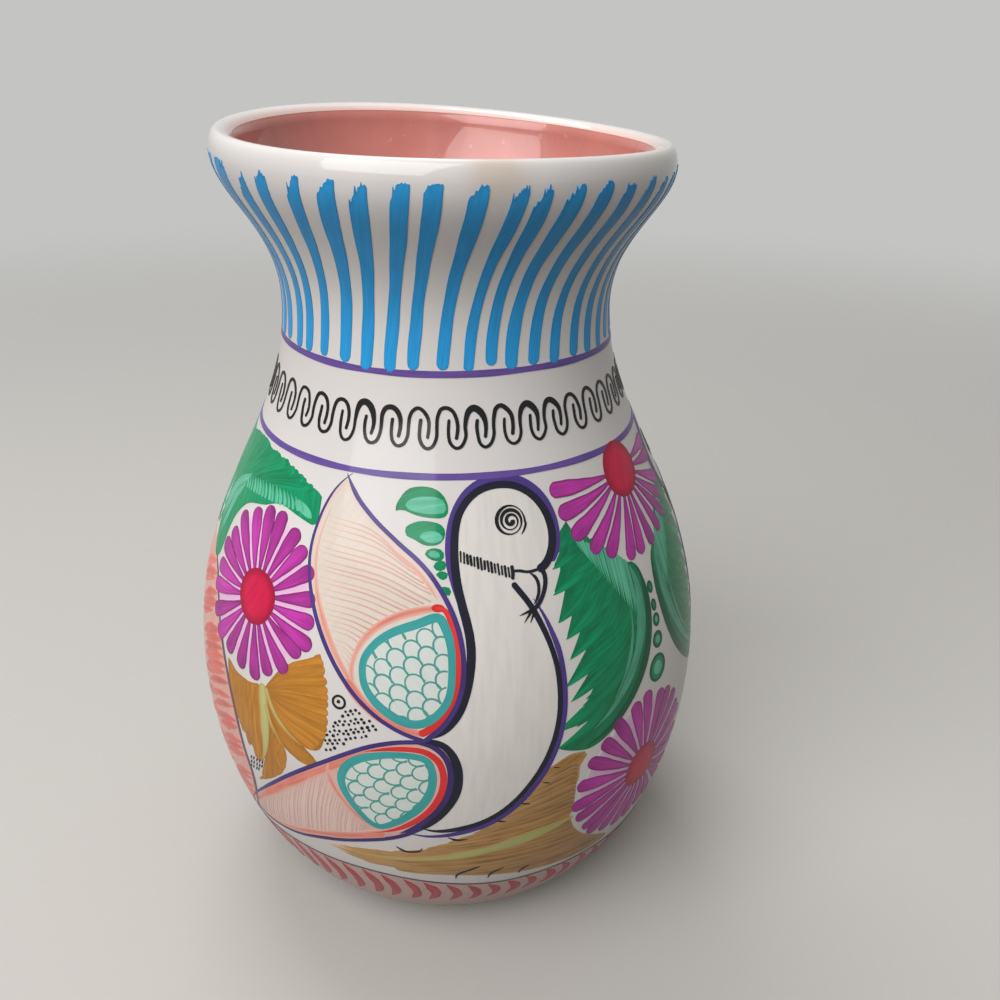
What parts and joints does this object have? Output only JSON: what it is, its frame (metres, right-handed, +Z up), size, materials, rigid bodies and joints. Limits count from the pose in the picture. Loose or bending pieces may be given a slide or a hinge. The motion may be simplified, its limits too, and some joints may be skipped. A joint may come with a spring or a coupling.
{
  "type": "clay vase",
  "caption": "Round-bellied clay vase with a narrow waist, a flared neck and a rolled lip, slip-coated outside and glazed inside.",
  "frame": {"origin": "centre of the flat base, on the surface that the vase stands on", "axes": "+Z up along the vase's axis; the painted bird faces -Y"},
  "size_m": [0.1564, 0.1564, 0.2333],
  "materials": {
    "clay": "matte",
    "slip": "gloss",
    "glaze": "gloss"
  },
  "bodies": {
    "root": {"base_disc": "clay", "lower_bowl": "clay", "shoulder_wall": "clay", "neck_wall": "clay", "lip_ring": "clay", "slip_coat": "slip", "inner_glaze": "glaze"}
  },
  "joints": []
}
